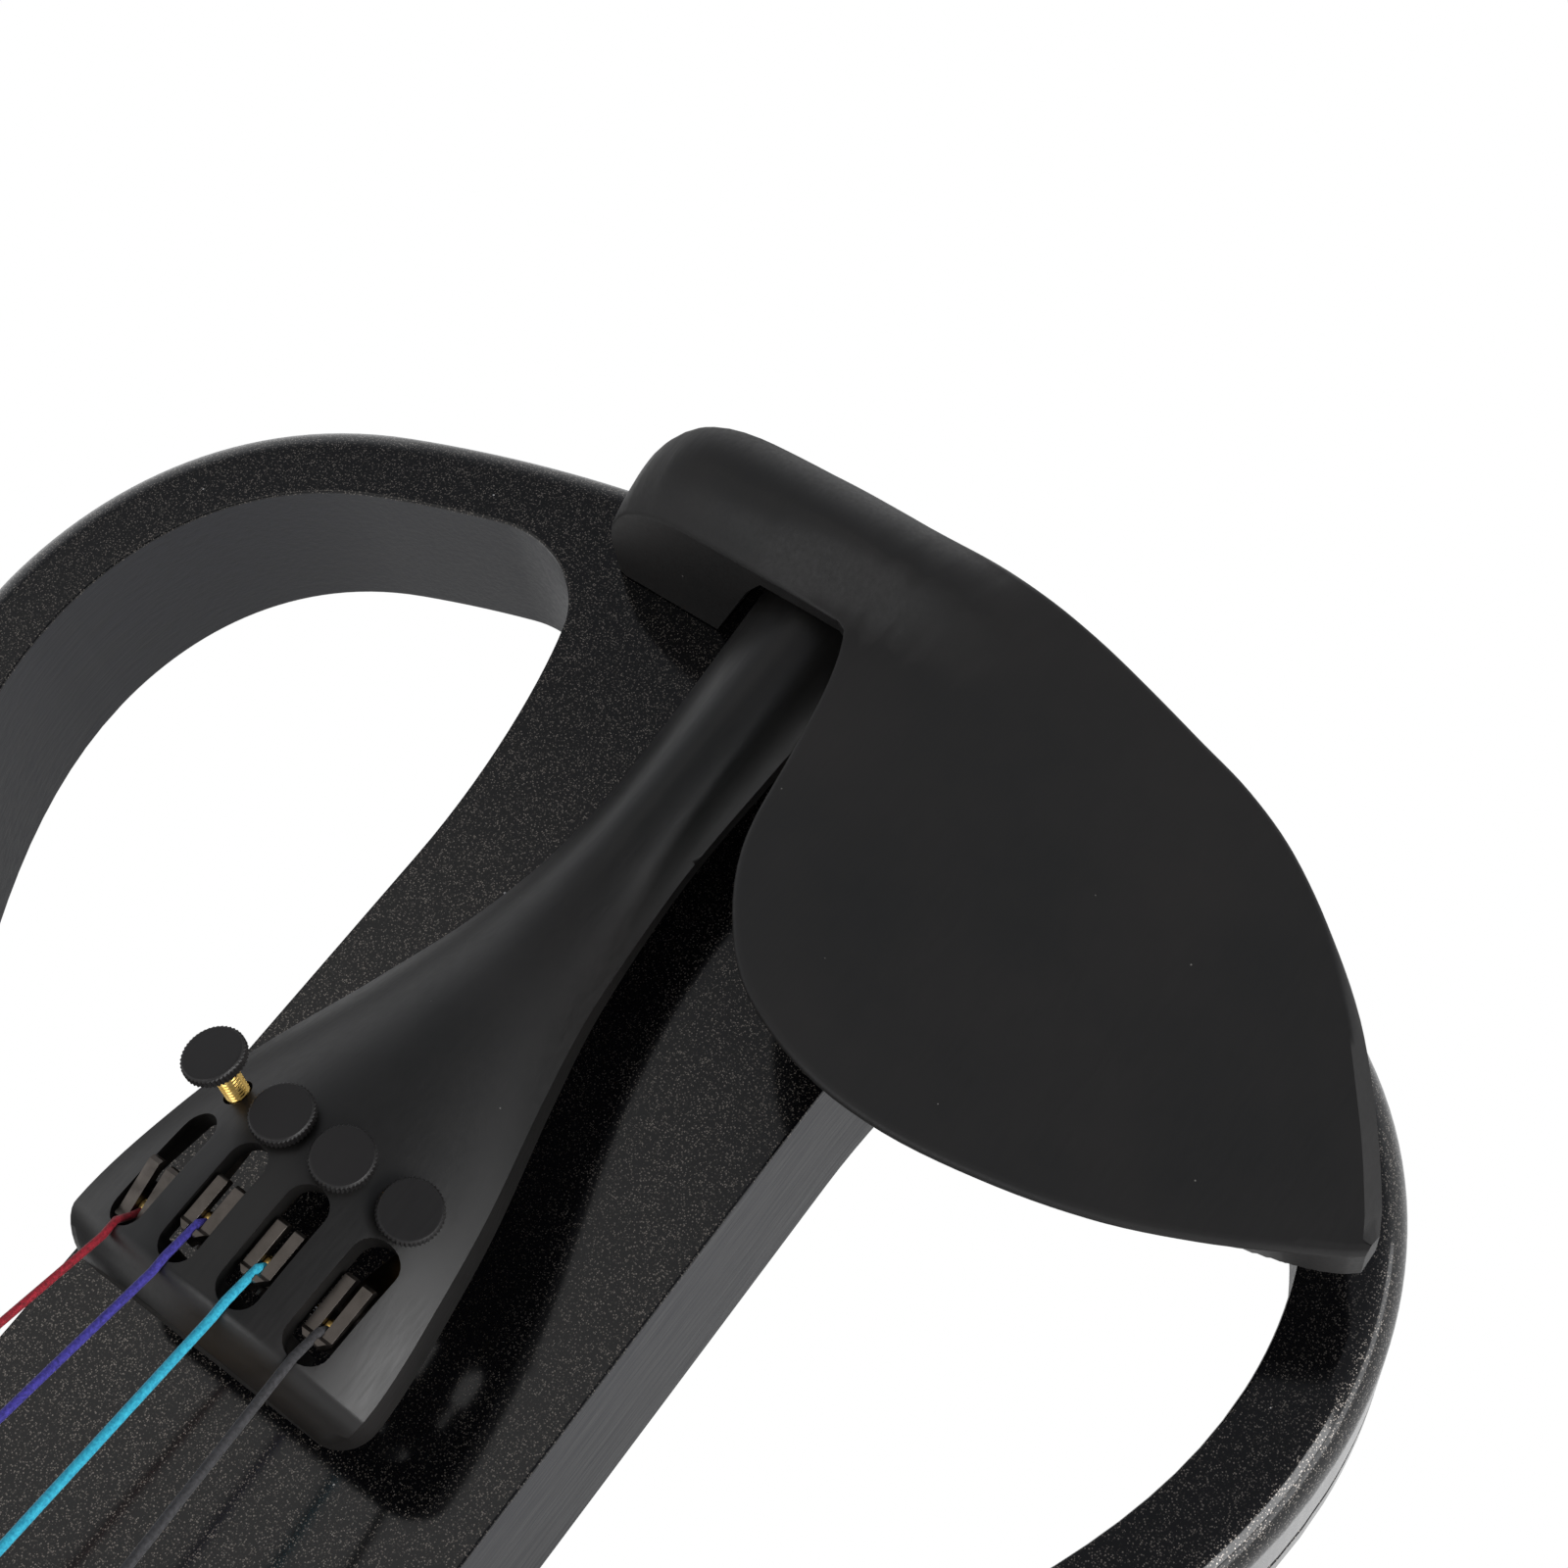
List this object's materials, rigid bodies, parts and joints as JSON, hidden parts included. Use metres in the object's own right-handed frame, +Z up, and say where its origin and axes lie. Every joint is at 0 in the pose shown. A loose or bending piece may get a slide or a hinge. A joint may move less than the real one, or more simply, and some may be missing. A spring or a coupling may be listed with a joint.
{
  "type": "electric violin",
  "caption": "Open-frame electric violin with chinrest, fine-tuner tailpiece, bridge, strings, fingerboard, neck, pegs and scroll.",
  "frame": {"origin": "middle of the bounding box in plan, on the plane that the violin lies on with its strings up", "axes": "+X to the treble side, +Y from the tail to the scroll, +Z up from the back to the strings"},
  "size_m": [0.208, 0.6076, 0.0675],
  "materials": {
    "flake_lacquer": "black gloss lacquer with fine silver flake over wood",
    "neck_lacquer": "black satin lacquer over maple",
    "ebonised_wood": "black-stained hardwood, satin",
    "composite": "moulded black composite, satin",
    "black_steel": "blackened steel",
    "brass": "bright threaded brass",
    "nickel": "nickel-plated steel and brass",
    "pot_can": "plated steel can and shaft",
    "maple": "bare maple",
    "pickup": "black anodised holder with a piezo strip",
    "lead": "thin black lead",
    "silk_g": "grey silk winding over wound steel",
    "silk_d": "cyan silk winding over wound steel",
    "silk_a": "violet-blue silk winding over wound steel",
    "silk_e": "red silk winding over plain steel",
    "gut": "black nylon cord with threaded ends",
    "cork": "pressed cork",
    "cover_plastic": "black textured plastic",
    "switch_steel": "blackened steel case",
    "circuit_board": "green solder mask with components",
    "battery_case": "painted tin case"
  },
  "bodies": {
    "frame": {"body": "flake_lacquer", "neck": "neck_lacquer", "fingerboard": "ebonised_wood", "nut": "ebonised_wood", "saddle": "ebonised_wood", "end_button": "ebonised_wood", "chinrest": "ebonised_wood", "tailpiece": "composite", "lever_pin": "nickel", "clamp_bracket_bass": "nickel", "clamp_bracket_treble": "nickel", "clamp_lower_bracket": "nickel", "output_jack": "nickel", "headphone_jack": "nickel", "cover_screw_1": "nickel", "cover_screw_2": "nickel", "cover_screw_3": "nickel", "cover_screw_4": "nickel", "volume_pot": "pot_can", "tone_pot": "pot_can", "bridge": "maple", "bridge_pickup": "pickup", "pickup_lead": "lead", "string_g": "silk_g", "string_d": "silk_d", "string_a": "silk_a", "string_e": "silk_e", "tail_gut": "gut", "clamp_cork": "cork", "control_cover": "cover_plastic", "jack_plate": "cover_plastic", "battery_clip": "cover_plastic", "power_switch": "switch_steel", "preamp_board": "circuit_board", "battery": "battery_case"},
    "peg_g": {"peg_g": "ebonised_wood"},
    "peg_d": {"peg_d": "ebonised_wood"},
    "peg_a": {"peg_a": "ebonised_wood"},
    "peg_e": {"peg_e": "ebonised_wood"},
    "tuner_shank_g": {"tuner_shank_g": "brass"},
    "tuner_head_g": {"tuner_head_g": "black_steel"},
    "tuner_lever_g": {"tuner_lever_g": "black_steel"},
    "tuner_shank_d": {"tuner_shank_d": "brass"},
    "tuner_head_d": {"tuner_head_d": "black_steel"},
    "tuner_lever_d": {"tuner_lever_d": "black_steel"},
    "tuner_shank_a": {"tuner_shank_a": "brass"},
    "tuner_head_a": {"tuner_head_a": "black_steel"},
    "tuner_lever_a": {"tuner_lever_a": "black_steel"},
    "tuner_shank_e": {"tuner_shank_e": "brass"},
    "tuner_head_e": {"tuner_head_e": "black_steel"},
    "tuner_lever_e": {"tuner_lever_e": "black_steel"},
    "volume_knob": {"volume_knob": "cover_plastic"},
    "tone_knob": {"tone_knob": "cover_plastic"},
    "switch_slider": {"switch_slider": "cover_plastic"},
    "battery_door": {"battery_door": "cover_plastic"},
    "clamp_barrel_bass": {"clamp_barrel_bass": "nickel"},
    "clamp_barrel_treble": {"clamp_barrel_treble": "nickel"}
  },
  "joints": [
    {"name": "peg_g_turn", "type": "hinge", "parent": "frame", "child": "peg_g", "pos_m": [0, 0.22458, 0.02562], "axis": [1, 0, 0], "continuous": true},
    {"name": "peg_d_turn", "type": "hinge", "parent": "frame", "child": "peg_d", "pos_m": [0, 0.25358, 0.02106], "axis": [1, 0, 0], "continuous": true},
    {"name": "peg_a_turn", "type": "hinge", "parent": "frame", "child": "peg_a", "pos_m": [0, 0.26808, 0.01878], "axis": [1, 0, 0], "continuous": true},
    {"name": "peg_e_turn", "type": "hinge", "parent": "frame", "child": "peg_e", "pos_m": [0, 0.23908, 0.02334], "axis": [1, 0, 0], "continuous": true},
    {"name": "tuner_g_rise", "type": "slide", "parent": "frame", "child": "tuner_shank_g", "axis": [-0.2066, -0.0977, 0.9735], "range_m": [0, 0.0045]},
    {"name": "tuner_g_turn", "type": "hinge", "parent": "tuner_shank_g", "child": "tuner_head_g", "pos_m": [-0.013, -0.18892, 0.05592], "axis": [-0.2066, -0.0977, 0.9735], "range_deg": [-5, 3245]},
    {"name": "tuner_g_lever", "type": "hinge", "parent": "frame", "child": "tuner_lever_g", "pos_m": [-0.013, -0.17592, 0.0481], "axis": [1, 0, 0], "range_deg": [-18.9, 0.1]},
    {"name": "tuner_d_rise", "type": "slide", "parent": "frame", "child": "tuner_shank_d", "axis": [-0.0693, -0.0996, 0.9926], "range_m": [0, 0.0045]},
    {"name": "tuner_d_turn", "type": "hinge", "parent": "tuner_shank_d", "child": "tuner_head_d", "pos_m": [-0.00434, -0.18892, 0.05861], "axis": [-0.0693, -0.0996, 0.9926], "range_deg": [-5, 3245]},
    {"name": "tuner_d_lever", "type": "hinge", "parent": "frame", "child": "tuner_lever_d", "pos_m": [-0.00434, -0.17592, 0.0481], "axis": [1, 0, 0], "range_deg": [-18.9, 0.1]},
    {"name": "tuner_a_rise", "type": "slide", "parent": "frame", "child": "tuner_shank_a", "axis": [0.0693, -0.0996, 0.9926], "range_m": [0, 0.0045]},
    {"name": "tuner_a_turn", "type": "hinge", "parent": "tuner_shank_a", "child": "tuner_head_a", "pos_m": [0.00434, -0.18892, 0.05861], "axis": [0.0693, -0.0996, 0.9926], "range_deg": [-5, 3245]},
    {"name": "tuner_a_lever", "type": "hinge", "parent": "frame", "child": "tuner_lever_a", "pos_m": [0.00434, -0.17592, 0.0481], "axis": [1, 0, 0], "range_deg": [-18.9, 0.1]},
    {"name": "tuner_e_rise", "type": "slide", "parent": "frame", "child": "tuner_shank_e", "axis": [0.2066, -0.0977, 0.9735], "range_m": [-0.0045, 0]},
    {"name": "tuner_e_turn", "type": "hinge", "parent": "tuner_shank_e", "child": "tuner_head_e", "pos_m": [0.013, -0.18892, 0.05592], "axis": [0.2066, -0.0977, 0.9735], "range_deg": [-3245, 5]},
    {"name": "tuner_e_lever", "type": "hinge", "parent": "frame", "child": "tuner_lever_e", "pos_m": [0.013, -0.17592, 0.0481], "axis": [1, 0, 0], "range_deg": [-0.1, 18.9]},
    {"name": "volume_turn", "type": "hinge", "parent": "frame", "child": "volume_knob", "pos_m": [0.0278, -0.06637, 0.015], "axis": [1, 0, 0], "range_deg": [-150, 150]},
    {"name": "tone_turn", "type": "hinge", "parent": "frame", "child": "tone_knob", "pos_m": [0.0278, -0.04237, 0.015], "axis": [1, 0, 0], "range_deg": [-150, 150]},
    {"name": "power_slide", "type": "slide", "parent": "frame", "child": "switch_slider", "axis": [0, 1, 0], "range_m": [0, 0.004]},
    {"name": "battery_door_hinge", "type": "hinge", "parent": "frame", "child": "battery_door", "pos_m": [-0.02935, 0.02788, 0.006], "axis": [0, 1, 0], "range_deg": [0, 95]},
    {"name": "clamp_bass_turn", "type": "hinge", "parent": "frame", "child": "clamp_barrel_bass", "pos_m": [-0.021, -0.29882, 0.01775], "axis": [0, 0, 1], "range_deg": [-90, 90]},
    {"name": "clamp_treble_turn", "type": "hinge", "parent": "frame", "child": "clamp_barrel_treble", "pos_m": [0.021, -0.29882, 0.01775], "axis": [0, 0, 1], "range_deg": [-90, 90]}
  ],
  "couplings": [
    {"joint": "tuner_g_turn", "follows": "tuner_g_rise", "rad_per_m": 12566},
    {"joint": "tuner_g_lever", "follows": "tuner_g_rise", "rad_per_m": -72.569},
    {"joint": "tuner_d_turn", "follows": "tuner_d_rise", "rad_per_m": 12566},
    {"joint": "tuner_d_lever", "follows": "tuner_d_rise", "rad_per_m": -72.569},
    {"joint": "tuner_a_turn", "follows": "tuner_a_rise", "rad_per_m": 12566},
    {"joint": "tuner_a_lever", "follows": "tuner_a_rise", "rad_per_m": -72.569},
    {"joint": "tuner_e_turn", "follows": "tuner_e_rise", "rad_per_m": 12566},
    {"joint": "tuner_e_lever", "follows": "tuner_e_rise", "rad_per_m": -72.569}
  ]
}
